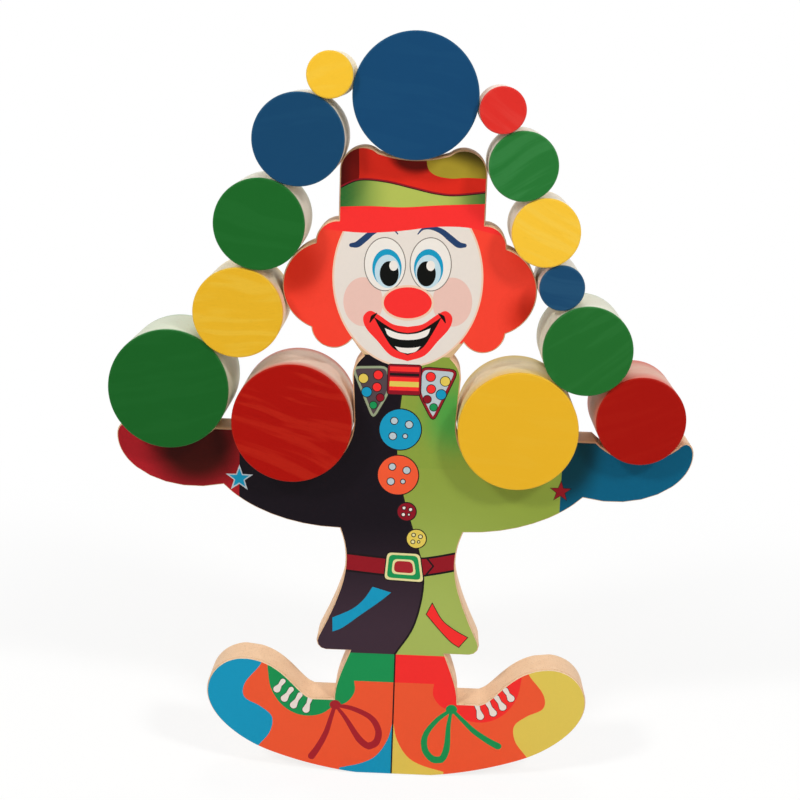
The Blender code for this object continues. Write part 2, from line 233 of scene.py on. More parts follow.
def new_piece(name, mesh, materials):
    """Makes a mesh object from a bmesh, gives it its materials and puts it in the scene."""
    data = bpy.data.meshes.new(name)
    mesh.to_mesh(data)
    mesh.free()
    for material in materials:
        data.materials.append(material)
    piece = bpy.data.objects.new(name, data)
    bpy.context.scene.collection.objects.link(piece)
    return piece


floor_mesh = bmesh.new()
bmesh.ops.create_grid(floor_mesh, x_segments=4, y_segments=4, size=FLOOR_WIDTH / 2)
floor = new_piece("floor", floor_mesh, [white_card()])
floor.location.z = cad_box[0].z
print("floor at z =", floor.location.z)

# %% [markdown]
# ## Beech
# The board and the blocks are beech, a pale pinkish wood that is common in toys. It was sawn, sanded and
# left bare on the edges. What the eye gets is a warm cream with soft growth bands some millimetres apart,
# fine long fibres and short brown flecks. A solid texture in the piece's own coordinates carries all
# three through the wood, so that faces, edges and ends agree, which a flat picture wrapped round the
# piece would not do.

# %% Beech grain
RING_WIDTH, RING_LENGTH = 4.5 * MM, 80.0 * MM
FIBRE_WIDTH, FIBRE_LENGTH = 0.45 * MM, 14.0 * MM    # real fibres are finer; drawn coarser so that they show
FLECK_WIDTH, FLECK_LENGTH = 0.5 * MM, 2.6 * MM
FLECK_START, FLECK_FULL = 0.64, 0.74                # noise levels where a fleck starts and is full
BEND_SIZE, BEND_DEPTH = 45.0 * MM, 14.0 * MM        # the grain wanders sideways by up to half the depth


def beech_grain(tree, place, along):
    """Growth bands, fibres and flecks that run along one axis of the piece, as three sockets from 0 to 1."""
    wander = add_node(tree, "ShaderNodeTexNoise", {"Vector": place, "Scale": 1 / BEND_SIZE, "Detail": 1.0},
                      "Color")
    bent = add_node(tree, "ShaderNodeVectorMath", {0: wander, 1: [BEND_DEPTH] * 3, 2: place},
                    operation="MULTIPLY_ADD")
    patterns = []
    for width, length, detail in ((RING_WIDTH, RING_LENGTH, 2.0), (FIBRE_WIDTH, FIBRE_LENGTH, 3.0),
                                  (FLECK_WIDTH, FLECK_LENGTH, 0.0)):
        scale = [1 / length if axis == along else 1 / width for axis in "XYZ"]
        spaced = add_node(tree, "ShaderNodeMapping", {"Vector": bent, "Scale": scale})
        patterns.append(add_node(tree, "ShaderNodeTexNoise", {
            "Vector": spaced, "Scale": 1.0, "Detail": detail}))
    bands, fibres, spots = patterns
    flecks = add_node(tree, "ShaderNodeMapRange", {
        "Value": spots, "From Min": FLECK_START, "From Max": FLECK_FULL})
    return bands, fibres, flecks


print("grain: bands", RING_WIDTH / MM, "mm wide, fibres", FIBRE_WIDTH / MM, "mm wide")

# %% [markdown]
# ### Sanded beech
# A colour here is built up as a painter glazes: a ground, and over it one thin layer for each pattern.
# The same fibres that tint the wood also make it rougher in one place than in the next, and raise it by
# a few hundredths of a millimetre, which is what sandpaper leaves. Bare beech has an IOR of about 1.5,
# like most dry wood and varnish, and a dull sheen.

# %% Sanded beech
FIBRE_HEIGHT = 0.06 * MM


def layered(tree, colour, *layers):
    """A colour under layers. Each is a pattern from 0 to 1, the share that it reaches, and its colour."""
    for pattern, most, over in layers:
        share = add_node(tree, "ShaderNodeMapRange", {"Value": pattern, "To Max": most})
        colour = add_node(tree, "ShaderNodeMix", {0: share, MIX_A: colour, MIX_B: over}, MIX_RESULT,
                          data_type="RGBA")
    return colour


def surfaced(tree, colour, fibres, roughness, relief, gloss=0.5):
    """Ends a material. The fibres roughen it, between two values, and raise it by a share of their height."""
    rough = add_node(tree, "ShaderNodeMapRange", {
        "Value": fibres, "To Min": roughness[0], "To Max": roughness[1]})
    raised = add_node(tree, "ShaderNodeBump", {
        "Height": fibres, "Strength": relief, "Distance": FIBRE_HEIGHT})
    surface = add_node(tree, "ShaderNodeBsdfPrincipled", {
        "Base Color": colour, "Roughness": rough, "IOR": 1.5, "Specular IOR Level": gloss, "Normal": raised})
    add_node(tree, "ShaderNodeOutputMaterial", {"Surface": surface})


def sanded_beech(name, pale, dark, fleck, along):
    """Bare sanded beech: pale and dark are its growth bands, and fleck its short brown marks.

    Hands darken the rounded edges of the front and back, which face neither along nor across the board.
    """
    material, tree, place = new_material(name)
    bands, fibres, flecks = beech_grain(tree, place, along)
    facing = add_node(tree, "ShaderNodeTexCoord", {}, "Normal")
    forwards = add_node(tree, "ShaderNodeSeparateXYZ", {0: facing}, "Y")
    handled = add_node(tree, "ShaderNodeMath", {0: forwards, 1: 0.5}, operation="PINGPONG")
    colour = layered(tree, pale, (bands, 1.0, dark), (fibres, 0.35, dark), (flecks, 0.45, fleck),
                     (handled, 0.9, fleck))
    surfaced(tree, colour, fibres, (0.48, 0.66), 0.35)
    return material


board_beech = sanded_beech("sanded_beech_board", "#F6D3AF", "#E9BF95", "#BC8F66", "Z")
print("material:", board_beech.name)

# %% [markdown]
# ## The board
# The clown is one board, 18 mm thick, cut on a bandsaw and sanded so that its edges are just rounded. The
# frame has its outline as short straight steps. It could be drawn again, but then it might stray from the
# frame, so the border of the flat front is read back instead.

# %% Borders from the frame
WELD = 0.001                            # mm; points nearer than this are one point


def faces_front(face):
    """True for the flat front of a piece."""
    return face.normal.y < -0.99


def front_border(node):
    """The closed border, in mm, of the flat front of a node, as (x, z) points."""
    mesh = bmesh.new()
    mesh.from_mesh(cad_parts[node].data)
    bmesh.ops.remove_doubles(mesh, verts=mesh.verts, dist=WELD * MM)
    following = {}
    for face in filter(faces_front, mesh.faces):
        for corner in face.loops:
            if sum(map(faces_front, corner.edge.link_faces)) == 1:
                following[corner.vert] = corner.link_loop_next.vert
    vert = first = next(iter(following))
    points = []
    while not points or vert is not first:
        points.append((vert.co.x / MM, vert.co.z / MM))
        vert = following[vert]
    mesh.free()
    return points


flat_front = front_border("clown_board")
print("flat front:", len(flat_front), "points")

# %% [markdown]
# ### A smooth outline
# A saw leaves a smooth curve, not steps. The outline is rounded out between its points, except at its
# corners and on its straight stretches, which stay as they are. A subdivision surface would do this too,
# but it pulls the curve inwards, and this one goes through every point.

# %% Smooth outlines
CORNER_TURN = math.radians(24)          # a sharper turn than this is a real corner
LONGEST_STEP = 7.0                      # a longer stretch, in mm, is a straight one
STEPS_BETWEEN = 4


def between(first, second):
    """The direction of a smooth curve where two steps meet, nearer to that of the shorter step."""
    return (first.normalized() * second.length + second.normalized() * first.length).normalized()


def rounded_out(points):
    """A closed outline, made smooth between its points except at corners and on straight stretches."""
    places = [Vector(p) for p in points]
    count = len(places)
    result = []
    for i in range(count):
        before, start, end, after = (places[(i + k) % count] for k in (-1, 0, 1, 2))
        step, last, following = end - start, start - before, after - end
        result.append(tuple(start))
        if step.length > LONGEST_STEP:
            continue
        leave = between(last, step) if last.angle(step) < CORNER_TURN else step.normalized()
        arrive = between(step, following) if step.angle(following) < CORNER_TURN else step.normalized()
        for k in range(1, STEPS_BETWEEN):
            t = k / STEPS_BETWEEN
            bulge = leave * (t * (1 - t) ** 2) - arrive * (t * t * (1 - t))
            result.append(tuple(start + step * (t * t * (3 - 2 * t)) + bulge * step.length))
    return result


print("corners turn by more than", round(math.degrees(CORNER_TURN)), "degrees")

# %% [markdown]
# ### Outlines moved in and out
# The board's rounded edge, the lines round the printed shapes and the edge of the paper all need an
# outline at a distance from another one. Each point moves along the bisector of its two steps, which
# keeps corners sharp and the distance even.

# %% Outlines moved in and out
def signed_area(points):
    """The area of a closed outline, negative where it runs clockwise."""
    return sum(Vector(points[i - 1]).cross(Vector(points[i])) for i in range(len(points))) / 2


def grown(points, distance):
    """A closed outline moved out by a distance, or in where the distance is negative."""
    count = len(points)
    places = [Vector(p) for p in points]
    distance = math.copysign(distance, signed_area(points) * distance)
    result = []
    for i in range(count):
        first = (places[i] - places[i - 1]).normalized()
        second = (places[(i + 1) % count] - places[i]).normalized()
        out = Vector((first.y + second.y, -first.x - second.x))
        result.append(tuple(places[i] + out * (distance / (1 + first.dot(second)))))
    return result


board_low, board_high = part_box("clown_board")
frame_edge = board_high.x / MM - max(x for x, z in flat_front)
board_outline = rounded_out(grown(flat_front, frame_edge))
print("board outline:", len(board_outline), "points,", round(frame_edge, 2), "mm outside the flat front")

# %% [markdown]
# ### Board
# The outline is carried round the thickness of the board: a quarter round at the front, a straight edge
# and a quarter round at the back, each a ring of the same points, a little further in or out. Rings keep
# the faces even, where a bevel would run into itself in the tight corners beside the hat and hands.

# %% Board
EDGE_ROUND = 0.6                        # mm
EDGE_STEPS = 4
SHARP_ANGLE = math.radians(40)          # a sharper edge than this stays sharp when shaded

front_y, back_y = board_low.y / MM, board_high.y / MM
edge = []
for k in range(EDGE_STEPS + 1):
    turn = math.pi / 2 * k / EDGE_STEPS
    edge.append((EDGE_ROUND * (1 - math.sin(turn)), EDGE_ROUND * (1 - math.cos(turn))))
rings = [(inset, front_y + depth) for inset, depth in edge]
rings += [(inset, back_y - depth) for inset, depth in edge[::-1]]

board_mesh = bmesh.new()
loops = []
for inset, y in rings:
    outline = grown(board_outline, -inset) if inset > 0 else board_outline
    loops.append([board_mesh.verts.new((x * MM, y * MM, z * MM)) for x, z in outline])
count = len(board_outline)
for ring, after in zip(loops, loops[1:]):
    for i in range(count):
        board_mesh.faces.new((ring[i], after[i], after[(i + 1) % count], ring[(i + 1) % count]))
board_mesh.faces.new(loops[0])
board_mesh.faces.new(loops[-1][::-1])
bmesh.ops.recalc_face_normals(board_mesh, faces=board_mesh.faces)


def smooth_shaded(piece):
    """Smooth shading that breaks at sharp edges, with flat faces kept flat beside small roundings."""
    piece.data.shade_smooth()
    piece.data.set_sharp_from_angle(angle=SHARP_ANGLE)
    weighted = piece.modifiers.new("even_normals", "WEIGHTED_NORMAL")
    weighted.keep_sharp = True


board = new_piece("board", board_mesh, [board_beech])
smooth_shaded(board)
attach(board, "clown")
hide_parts("clown_board")
print("board:", len(board.data.polygons), "faces, y from", front_y, "to", back_y, "mm")

# %% [markdown]
# ## Printed paper
# The clown's front is a sheet of paper, printed in flat inks, glued to the board and varnished. The eye
# gets clean fields of colour with some airbrushed shade in them, a satin gloss, and just a hint of the
# wood's fibres under the paper. Some inks also carry painted shadow, darker where a block casts its shade
# on the paper. Each ink is a material of its own: one colour, a second one that comes in with the
# distance from a chosen point, and a fine mottle, because no printed ink lies quite even. An image would
# hold all this in one, but it would blur close by, and these stay sharp.

# %% Inks
MOTTLE_SIZE = 1.6 * MM                  # real mottle is finer; drawn this coarse so that it shows
MOTTLE_SHARE = 0.16
SHADE = 0.72                            # a darker shade of a colour gives back this much of its light
PRINT_GLOSS = 0.08                      # the lamps stand where a satin varnish hardly mirrors them


def darker(hex_colour):
    """A somewhat darker shade of a colour, in linear values."""
    return [SHADE * c for c in linear(hex_colour)[:3]] + [1.0]


def varnished_print(name, colour, second=None, centre=(0, 0), weights=(1, 1), near=0.0, far=1.0):
    """Ink on varnished paper. It turns to a second colour between two distances, in mm, from a centre."""
    material, tree, place = new_material("varnished_print_" + name)
    ink = colour
    if second:
        away = add_node(tree, "ShaderNodeVectorMath", {0: place, 1: (centre[0] * MM, 0, centre[1] * MM)},
                        operation="SUBTRACT")
        weighed = add_node(tree, "ShaderNodeVectorMath", {0: away, 1: (weights[0], 0, weights[1])},
                           operation="MULTIPLY")
        distance = add_node(tree, "ShaderNodeVectorMath", {0: weighed}, "Value", operation="LENGTH")
        share = add_node(tree, "ShaderNodeMapRange", {
            "Value": distance, "From Min": near * MM, "From Max": far * MM}, interpolation_type="SMOOTHSTEP")
        ink = layered(tree, colour, (share, 1.0, second))
    mottle = add_node(tree, "ShaderNodeTexNoise", {"Vector": place, "Scale": 1 / MOTTLE_SIZE, "Detail": 3.0})
    printed = layered(tree, ink, (mottle, MOTTLE_SHARE, darker(colour)))
    _, fibres, _ = beech_grain(tree, place, "Z")
    surfaced(tree, printed, fibres, (0.36, 0.48), 0.10, PRINT_GLOSS)
    return material


print("print with a gloss of", PRINT_GLOSS)

# %% [markdown]
# ### Ink colours
# Most inks are one flat colour. Some have airbrushed shade, and some have painted shadow where a block
# casts its shade on the paper. Such an ink also has a second colour, the point that the change is measured
# from, its weights across and up, and the distances where it starts and ends.

# %% Ink colours
LIME_SHADE = "#8DA03F"
HAIR_RED = "#F94431"
INKS = {
    # ink: colour, second colour, centre, weights, start and end of the change in mm
    "paper_edge": ("#EAD9BC",),
    "skin": ("#D8B488",),
    "hair": (HAIR_RED,),
    # painted shadow: the three hair fields below are darker red where the blocks beside the hair cast their
    # shade
    "hair_shadow_left": ("#D82E1A", HAIR_RED, (-50, 244), (1.15, 0.95), 4, 18),
    "hair_shadow_high": ("#EC3C28", HAIR_RED, (51, 252), (1, 1), 2, 12),
    "hair_shadow_low": ("#CC2A16", HAIR_RED, (54, 225), (1, 1), 2, 15),
    "cream": ("#E9DFD5",),
    "face_edge": ("#F1CBB0",),
    "cheek": ("#ECC3B6",),
    "eye_white": ("#F1EAE1",),
    "eye_line": ("#7C736B",),
    "blue": ("#179AC2",),
    "pale_blue": ("#C4DDE6",),
    "black": ("#0A0C09",),
    "brow": ("#26406A",),
    "red": ("#FB3230",),
    # painted shadow: the crown turns dark just under the block that sits on the hat
    "crown": ("#DE2A1B", "#5A0E08", (1, 293), (0.6, 1), 8, 4.5),
    "crown_fold": ("#7C120C", "#3E0805", (-24, 285), (1, 0), 0, 9),
    "band": ("#B4C059", "#1F7034", (2, 275), (1, 0), 10, 33),
    # painted shadow: the patch darkens upwards, under the same block
    "mustard_with_shadow": ("#B5A032", "#43380F", (12, 284), (0.5, 1), 6, 13),
    "coat_dark": ("#3F2E39", "#110C13", (0, 50), (0.3, 1), 20, 80),
    "coat_lime": ("#A9BA5E", LIME_SHADE, (12, 60), (1, 1), 15, 95),
    "shoulder": ("#52A046", LIME_SHADE, (22, 178), (1.1, 0.9), 4, 22),
    "belt": ("#941924",),
    "green": ("#1C9453",),
    "orange": ("#F45B35",),
    "yellow": ("#E5CB5A",),
    # the hands are darker under the blocks resting on them: the print's airbrush and painted shadow together
    "maroon_with_shadow": ("#3C0A05", "#B01E27", (-95, 160), (1, 1.05), 11, 28),
    "teal_with_shadow": ("#053947", "#076082", (74, 166), (1, 0.55), 8, 20),
    "lace_white": ("#F1E6DC",),
    "lace_red": ("#A9262F",),
    "bow_grey": ("#BCC9CF",),
    "bow_line": ("#98A383",),
    "bow_shade": ("#54464B",),
    "knot": ("#8E1524",),
    "straw": ("#E9DFA0",),
    "line": ("#1C1518",),
}
inks = {name: varnished_print(name, *look) for name, look in INKS.items()}
print("inks:", len(inks))

# %% [markdown]
# ## Drawing the clown
# The print is drawn as a sign painter would: large fields first, smaller ones over them. Each field is a
# closed outline in millimetres, x to the right and z up, as the board stands, and it may run past the
# paper, which trims it later. A few helpers give curves through points, strokes and stars, so that only
# the points that a shape needs are written.

# %% Drawing helpers
CURVE_STEPS = 6
fields = []


def lay(ink, *outlines):
    """Lays outlines in one ink over what has been drawn so far, each of them anticlockwise."""
    for outline in outlines:
        fields.append((ink, outline if signed_area(outline) > 0 else outline[::-1]))


def rectangle(left, low, right, high):
    """A rectangle from its left, lowest, right and highest edge."""
    return [(left, low), (right, low), (right, high), (left, high)]


def curve(*points):
    """A smooth curve through the points."""
    places = [Vector(p) for p in points]
    places = [2 * places[0] - places[1], *places, 2 * places[-1] - places[-2]]
    result = []
    for before, start, end, after in zip(places, places[1:], places[2:], places[3:]):
        for k in range(CURVE_STEPS):
            t = k / CURVE_STEPS
            pull = (end - before) * (t * (1 - t) ** 2) - (after - start) * (t * t * (1 - t))
            result.append(tuple(start + (end - start) * (t * t * (3 - 2 * t)) + pull / 2))
    return [*result, tuple(points[-1])]


def stroke(path, *widths):
    """A brush stroke along a path. Its width runs evenly through those given, and its ends are round."""
    places = [Vector(p) for p in path]
    last = len(places) - 1
    halves = np.interp(np.linspace(0, 1, last + 1), np.linspace(0, 1, len(widths)), widths) / 2
    ways = [(places[min(i + 1, last)] - places[max(i - 1, 0)]).normalized() for i in range(last + 1)]

    def beside(i, degrees):
        return tuple(places[i] + Matrix.Rotation(math.radians(degrees), 2) @ ways[i] * halves[i])

    right = [beside(i, -90) for i in range(last + 1)]
    left = [beside(i, 90) for i in range(last, -1, -1)]
    tip = [beside(last, degrees) for degrees in (-60, -30, 0, 30, 60)]
    tail = [beside(0, degrees) for degrees in (120, 150, 180, 210, 240)]
    return right + tip + left + tail


def star(x, z, outer, inner, points=5):
    """A star with its first point up."""
    spots = []
    for k in range(2 * points):
        turn = math.pi / 2 + math.pi * k / points
        reach = inner if k % 2 else outer
        spots.append((x + reach * math.cos(turn), z + reach * math.sin(turn)))
    return spots


print("a curve has", CURVE_STEPS, "steps between two points")

# %% [markdown]
# ### Coat, sleeves and hands
# The coat is in two colours that meet at a curved front edge, with dark cloth on one side and lime on the
# other. The hands and the ends of the sleeves have a third and a fourth colour, and a star covers each
# place where they meet.

# %% Coat
HEM, COLLAR = 61.8, 205.0
CUFF_LEFT, CUFF_RIGHT = -75.0, 72.0
FAR = 150.0                             # well past the paper

front_edge = curve((0.0, COLLAR), (-2.6, 183), (-3.6, 161), (0.2, 139), (7.4, 116), (11.0, 98), (7.4, 77),
                   (-1.2, HEM))
lay("coat_lime", rectangle(-FAR, HEM, FAR, COLLAR))
lay("shoulder", rectangle(0, 153, 60, COLLAR))
lay("coat_dark", [(-FAR, HEM), *front_edge[::-1], (-FAR, COLLAR)])
lay("line", stroke(front_edge, 0.9))
# painted shadow: the hands' inks darken under the blocks resting on them, along with the print's own airbrush
lay("maroon_with_shadow", rectangle(-FAR, 120, CUFF_LEFT, 210))
lay("teal_with_shadow", rectangle(CUFF_RIGHT, 120, FAR, 210))
lay("bow_grey", star(CUFF_LEFT, 145.0, 6.6, 2.6))
lay("blue", star(CUFF_LEFT, 145.0, 4.8, 2.0))
lay("line", star(CUFF_RIGHT, 144.5, 5.4, 2.2))
lay("belt", star(CUFF_RIGHT, 144.5, 4.7, 1.9))
print("coat:", len(fields), "fields so far")

# %% [markdown]
# ### Buttons
# Four buttons, two large and two small, follow the coat's front edge. A button is a disc with a dark line
# round it and four pale holes, so one function draws all four from their place and size.

# %% Buttons
LINE = 0.5                              # width of a drawn line, in mm
HOLES = ((-0.30, 0.42, 0.16), (0.42, 0.26, 0.17), (-0.35, -0.34, 0.17), (0.25, -0.32, 0.10))


def oval(x, z, half_width, half_height=None):
    """An oval, or a circle where only one size is given."""
    half_height = half_height or half_width
    count = max(20, int(6 * (half_width + half_height) ** 0.7))
    turns = [2 * math.pi * k / count for k in range(count)]
    return [(x + half_width * math.cos(turn), z + half_height * math.sin(turn)) for turn in turns]


def button(x, z, radius, ink, hole_ink):
    """A button with four holes, whose places and sizes are parts of its radius."""
    lay("line", oval(x, z, radius + LINE))
    lay(ink, oval(x, z, radius))
    for across, up, size in HOLES:
        lay("line", oval(x + across * radius, z + up * radius, size * radius + 0.8 * LINE))
        lay(hole_ink, oval(x + across * radius, z + up * radius, size * radius))


button(-2.1, 170.9, 9.4, "blue", "bow_grey")
button(-2.4, 149.4, 9.2, "orange", "bow_grey")
button(2.1, 132.1, 4.2, "knot", "lace_white")
button(7.0, 119.2, 4.4, "yellow", "straw")
print("buttons:", len(fields), "fields so far")

# %% [markdown]
# ### Belt and pockets
# The belt crosses under the buttons, with a plain buckle of nested frames with round corners, and each
# half of the coat has a slanted pocket flap.

# %% Belt and pockets
def rounded(points, reach):
    """A polygon with its corners rounded off, from a given reach on either side of each."""
    count = len(points)
    result = []
    for i in range(count):
        before, here, after = (Vector(points[(i + k) % count]) for k in (-1, 0, 1))
        start = here + (before - here).normalized() * reach
        end = here + (after - here).normalized() * reach
        for k in range(5):
            t = k / 4
            result.append(tuple(start * (1 - t) ** 2 + here * 2 * t * (1 - t) + end * t * t))
    return result


belt_top = curve((-40, 111.8), (-25.5, 110.5), (-8, 109.0), (2, 108.6), (11.3, 109.4), (24.5, 112.2),
                 (40, 116.4))
belt_low = [(x, z - 7.4) for x, z in belt_top]
belt = [*belt_low, *belt_top[::-1]]
strap_end = [(4, 101.4), (11.6, 101.8), (14.8, 106.2), (12.0, 109.6), (4, 109.2)]
buckle = [(-7.2, 98.9), (11.0, 98.2), (8.8, 111.9), (-6.2, 112.1)]
lay("line", grown(belt, 1.0))
lay("belt", belt)
lay("line", grown(strap_end, 0.8))
lay("belt", strap_end)
for inset, ink in ((-LINE, "line"), (0, "straw"), (1.0, "green"), (3.0, "straw"), (3.9, "lace_red")):
    lay(ink, rounded(grown(buckle, -inset), 2.2))

left_pocket = [*curve((-30.9, 79.0), (-22.0, 83.5), (-16.5, 88.6), (-12.5, 95.0)),
               *curve((-3.8, 92.5), (-9.5, 87.4), (-17.7, 80.9), (-25.9, 74.3), (-30.7, 72.0))]
right_pocket = [*curve((13.1, 82.4), (18.9, 75.6), (24.7, 69.5), (28.7, 66.8)),
                *curve((32.4, 71.6), (26.0, 75.2), (20.2, 79.9), (15.5, 87.7))]
lay("blue", left_pocket)
lay("line", grown(right_pocket, 0.4))
lay("red", right_pocket)
print("belt and pockets:", len(fields), "fields so far")

# %% [markdown]
# ### Trousers and shoes
# The two legs are mirror images in other colours, so one function draws a leg: the trouser cuff and sock,
# the orange shoe with its toe cap, tongue and white laces, and a loose bow, which hangs a little
# differently on each shoe.

# %% Trousers and shoes
CUFF_LOW = 47.6
MIDLINE = -1.0
KNOT = (27.6, 35.0)


def mirrored(points, axis=0.0):
    """An outline's mirror image about a vertical line."""
    return [(2 * axis - x, z) for x, z in reversed(points)]


def turned(points, centre, degrees):
    """Points turned anticlockwise about a centre."""
    turn = Matrix.Rotation(math.radians(degrees), 2)
    return [tuple(turn @ (Vector(p) - Vector(centre)) + Vector(centre)) for p in points]


def leg(side, sock, toe, bow, bow_turn):
    """One leg, drawn on the right and mirrored to the left where side is -1."""
    def put(ink, points):
        placed = [(MIDLINE + x, z) for x, z in points]
        lay(ink, placed if side > 0 else mirrored(placed, MIDLINE))

    put("orange", rectangle(0, -5, FAR, HEM))
    put(toe, [*curve((62.6, 58), (63.6, 53.6), (70.6, 44.4), (70.8, 37.2), (63.2, 32.8), (57.6, 27.6),
                     (58.6, 19.6), (64.6, 11.5), (66.5, 6)), (FAR, 6), (FAR, 58)])
    put(toe, [*curve((0, 28), (2.2, 18.4), (7.2, 10.0), (14.2, 5.6), (25, 2.6)), (25, -5), (0, -5)])
    put(sock, rectangle(0, CUFF_LOW, 37.5, HEM))
    put(sock, [*curve((19.0, 48.6), (18.6, 42.0), (22.4, 36.4), (28.4, 34.4)), (36, 40), (36, 48.6)])
    put(sock, [*curve((28.0, 34.8), (33.6, 30.4), (40.4, 28.8), (47.4, 30.2), (53.8, 34.8), (58.4, 42.6),
                      (60.0, 52.4)), (60, 58), (28, 58)])
    for upper, lower in (((52.6, 46.0), (55.4, 41.8)), ((48.6, 42.0), (51.8, 37.2)),
                         ((44.4, 39.4), (47.4, 34.0)), ((39.4, 38.2), (41.4, 32.0))):
        put("line", stroke(curve(upper, lower), 3.0, 2.3, 4.0))
        put("lace_white", stroke(curve(upper, lower), 2.5, 1.8, 3.5))

    def hang(*path):
        return turned(curve(*((KNOT[0] + x, KNOT[1] + z) for x, z in path)), KNOT, bow_turn)

    put(bow, stroke(hang((0.2, -0.6), (2.0, -7.0), (4.2, -14.7), (7.8, -22.2), (10.8, -27.0)),
                    1.6, 2.6, 3.4))
    put(bow, stroke(hang((-0.8, -0.2), (-8.7, -1.7), (-17.2, -6.0), (-20.9, -12.6), (-19.9, -18.6),
                         (-16.6, -20.6)), 1.8, 3.0, 3.6))
    put(bow, stroke(hang((-19.9, -18.6), (-16.6, -20.6), (-13.0, -18.4), (-10.0, -14.6), (-5.2, -6.8),
                         (-0.8, -1.0)), 3.4, 3.2, 1.4))
    put(bow, oval(*KNOT, 2.7, 2.4))


leg(-1, "green", "blue", "lace_red", 0)
leg(1, "red", "yellow", "green", 30)
lay("line", rectangle(MIDLINE - 0.35, -5, MIDLINE + 0.35, HEM))
print("legs:", len(fields), "fields so far")

# %% [markdown]
# ### Head
# Red hair stands out on both sides of a pale painted face. The face has the marks of any circus clown:
# large eyes, arched brows, blushed cheeks, a round nose and a wide painted smile, set out evenly about
# the middle of the face, which leans a little.

# %% Face and hair
FACE_X, FACE_Z = -1.0, 240.0
FACE_LEAN = 1.8                         # degrees
NECK_TOP = 211.5


def on_face(ink, *outlines):
    """Fields of the face, drawn about x = 0 and then put in place."""
    for outline in outlines:
        lay(ink, turned([(FACE_X + x, z) for x, z in outline], (FACE_X, FACE_Z), FACE_LEAN))


def both(ink, outline):
    """A field of the face and its mirror image."""
    on_face(ink, outline, mirrored(outline))


def even(ink, right_half):
    """A field that is even about the middle of the face, from its right half, top to bottom."""
    on_face(ink, [*right_half, *mirrored(right_half)[1:-1]])


lay("hair", rectangle(-70, NECK_TOP, 70, 276))
lay("hair", rectangle(-70, COLLAR - 0.4, -26, NECK_TOP), rectangle(25, COLLAR - 0.4, 70, NECK_TOP))
# painted shadow: these three fields darken the hair where the blocks beside it cast their shade
lay("hair_shadow_left", oval(-47, 246, 17.4, 21.1))
lay("hair_shadow_high", oval(51, 252, 12))
lay("hair_shadow_low", oval(54, 225, 15))
on_face("face_edge", oval(0, FACE_Z, 33.4, 40.2))
on_face("cream", oval(0, FACE_Z, 32.6, 39.4))
both("cheek", oval(19.8, 229.4, 8.8, 11.0))
both("eye_line", oval(10.1, 246.2, 9.3, 12.0))
both("eye_white", oval(10.1, 246.2, 8.9, 11.6))
both("blue", oval(9.2, 244.6, 6.5, 8.4))
both("pale_blue", oval(9.0, 243.0, 5.6, 7.4))
both("black", oval(8.2, 242.0, 4.2, 5.6))
on_face("eye_white", oval(-6.3, 245.6, 1.9, 2.3), oval(10.1, 245.6, 1.9, 2.3))
brow = curve((25.0, 254.6), (22.2, 255.0), (18.6, 257.8), (14.8, 260.8), (10.2, 262.4), (6.6, 261.8),
             (4.4, 259.6))
both("brow", stroke(brow, 1.8, 2.8, 2.8, 2.4, 1.8, 1.0, 0.5))
print("eyes and cheeks:", len(fields), "fields so far")

# %% [markdown]
# ### Smile and nose
# The painted smile is a red shape with a dark mouth in it, and two rows of teeth in the mouth. It is even
# about the middle of the face, so only its right half is written. The nose comes last, with a pale line
# round it.

# %% Smile and nose
lip_curve = curve((0, 218.2), (6.6, 219.4), (12.6, 223.4), (16.8, 225.4), (19.8, 222.6), (18.6, 217.6),
                  (13.4, 211.6), (7.6, 205.2), (0, 202.6))
mouth_top = curve((0, 215.4), (5.2, 216.4), (10.4, 219.4), (15.2, 222.8))
mouth_low = curve((15.2, 222.8), (11.4, 215.8), (6.6, 208.6), (0, 205.4))
teeth_top = curve((0, 214.8), (4.6, 215.4), (10.2, 217.6))
teeth_low = curve((10.2, 217.6), (8.6, 214.2), (4.4, 212.6), (0, 212.2))
lower_teeth = [*curve((0, 208.6), (3.0, 208.8), (5.8, 209.4)),
               *curve((5.8, 209.4), (3.6, 207.0), (0, 206.1))[1:]]
even("red", lip_curve)
both("black", stroke(curve((13.8, 224.2), (15.6, 222.6), (16.8, 220.2)), 0.5, 1.7, 0.5))
even("black", [*mouth_top, *mouth_low[1:]])
even("eye_white", [*teeth_top, *teeth_low[1:]])
even("eye_white", lower_teeth)
on_face("face_edge", oval(0, 229, 11.7, 8.0))
on_face("red", oval(0, 229, 10.7, 7.0))
print("head:", len(fields), "fields so far")

# %% [markdown]
# ### Hat
# The hat has a rolled brim, a waving band, a patch on the crown and a fold at its left end. The crown is
# laid first and the brim last, so that each curve is written once and cuts what lies under it.

# %% Hat
brim_low = curve((-40, 260.6), (-30, 259.8), (-20, 259.5), (-9, 260.3), (0, 261.5), (7, 262.7), (15, 263.4),
                 (24, 263.3), (31, 262.0), (40, 260))
brim_top = curve((-40, 270.0), (-20, 271.2), (-4, 271.2), (12, 272.6), (40, 274.4))
band_top = curve((-40, 273.4), (-32, 278.2), (-23.5, 282.0), (-12, 281.6), (0, 279.2), (10, 277.2),
                 (20, 276.8), (40, 279.6))
# painted shadow: the crown's ink darkens just under the block on the hat
lay("crown", [*brim_low, (40, 305), (-40, 305)])
lay("crown_fold", [(-40, 268), (-25, 268), (-23.6, 285), (-24.4, 305), (-40, 305)])
# painted shadow: the patch darkens upwards under that block
lay("mustard_with_shadow", [*curve((6, 305), (5.6, 291), (8.6, 286), (16, 284.4), (24, 284.9), (40, 284.6)), (40, 305)])
lay("belt", stroke(band_top, 2.2))
lay("line", stroke(band_top, 0.9))
lay("band", [*brim_top, *band_top[::-1]])
lay("red", [*brim_low, *brim_top[::-1]])
print("hat:", len(fields), "fields so far")

# %% [markdown]
# ### Bow tie
# The bow tie covers the collar: two wings with coloured dots, and a striped knot between them. One wing is
# drawn twice, in other inks and to the other side.

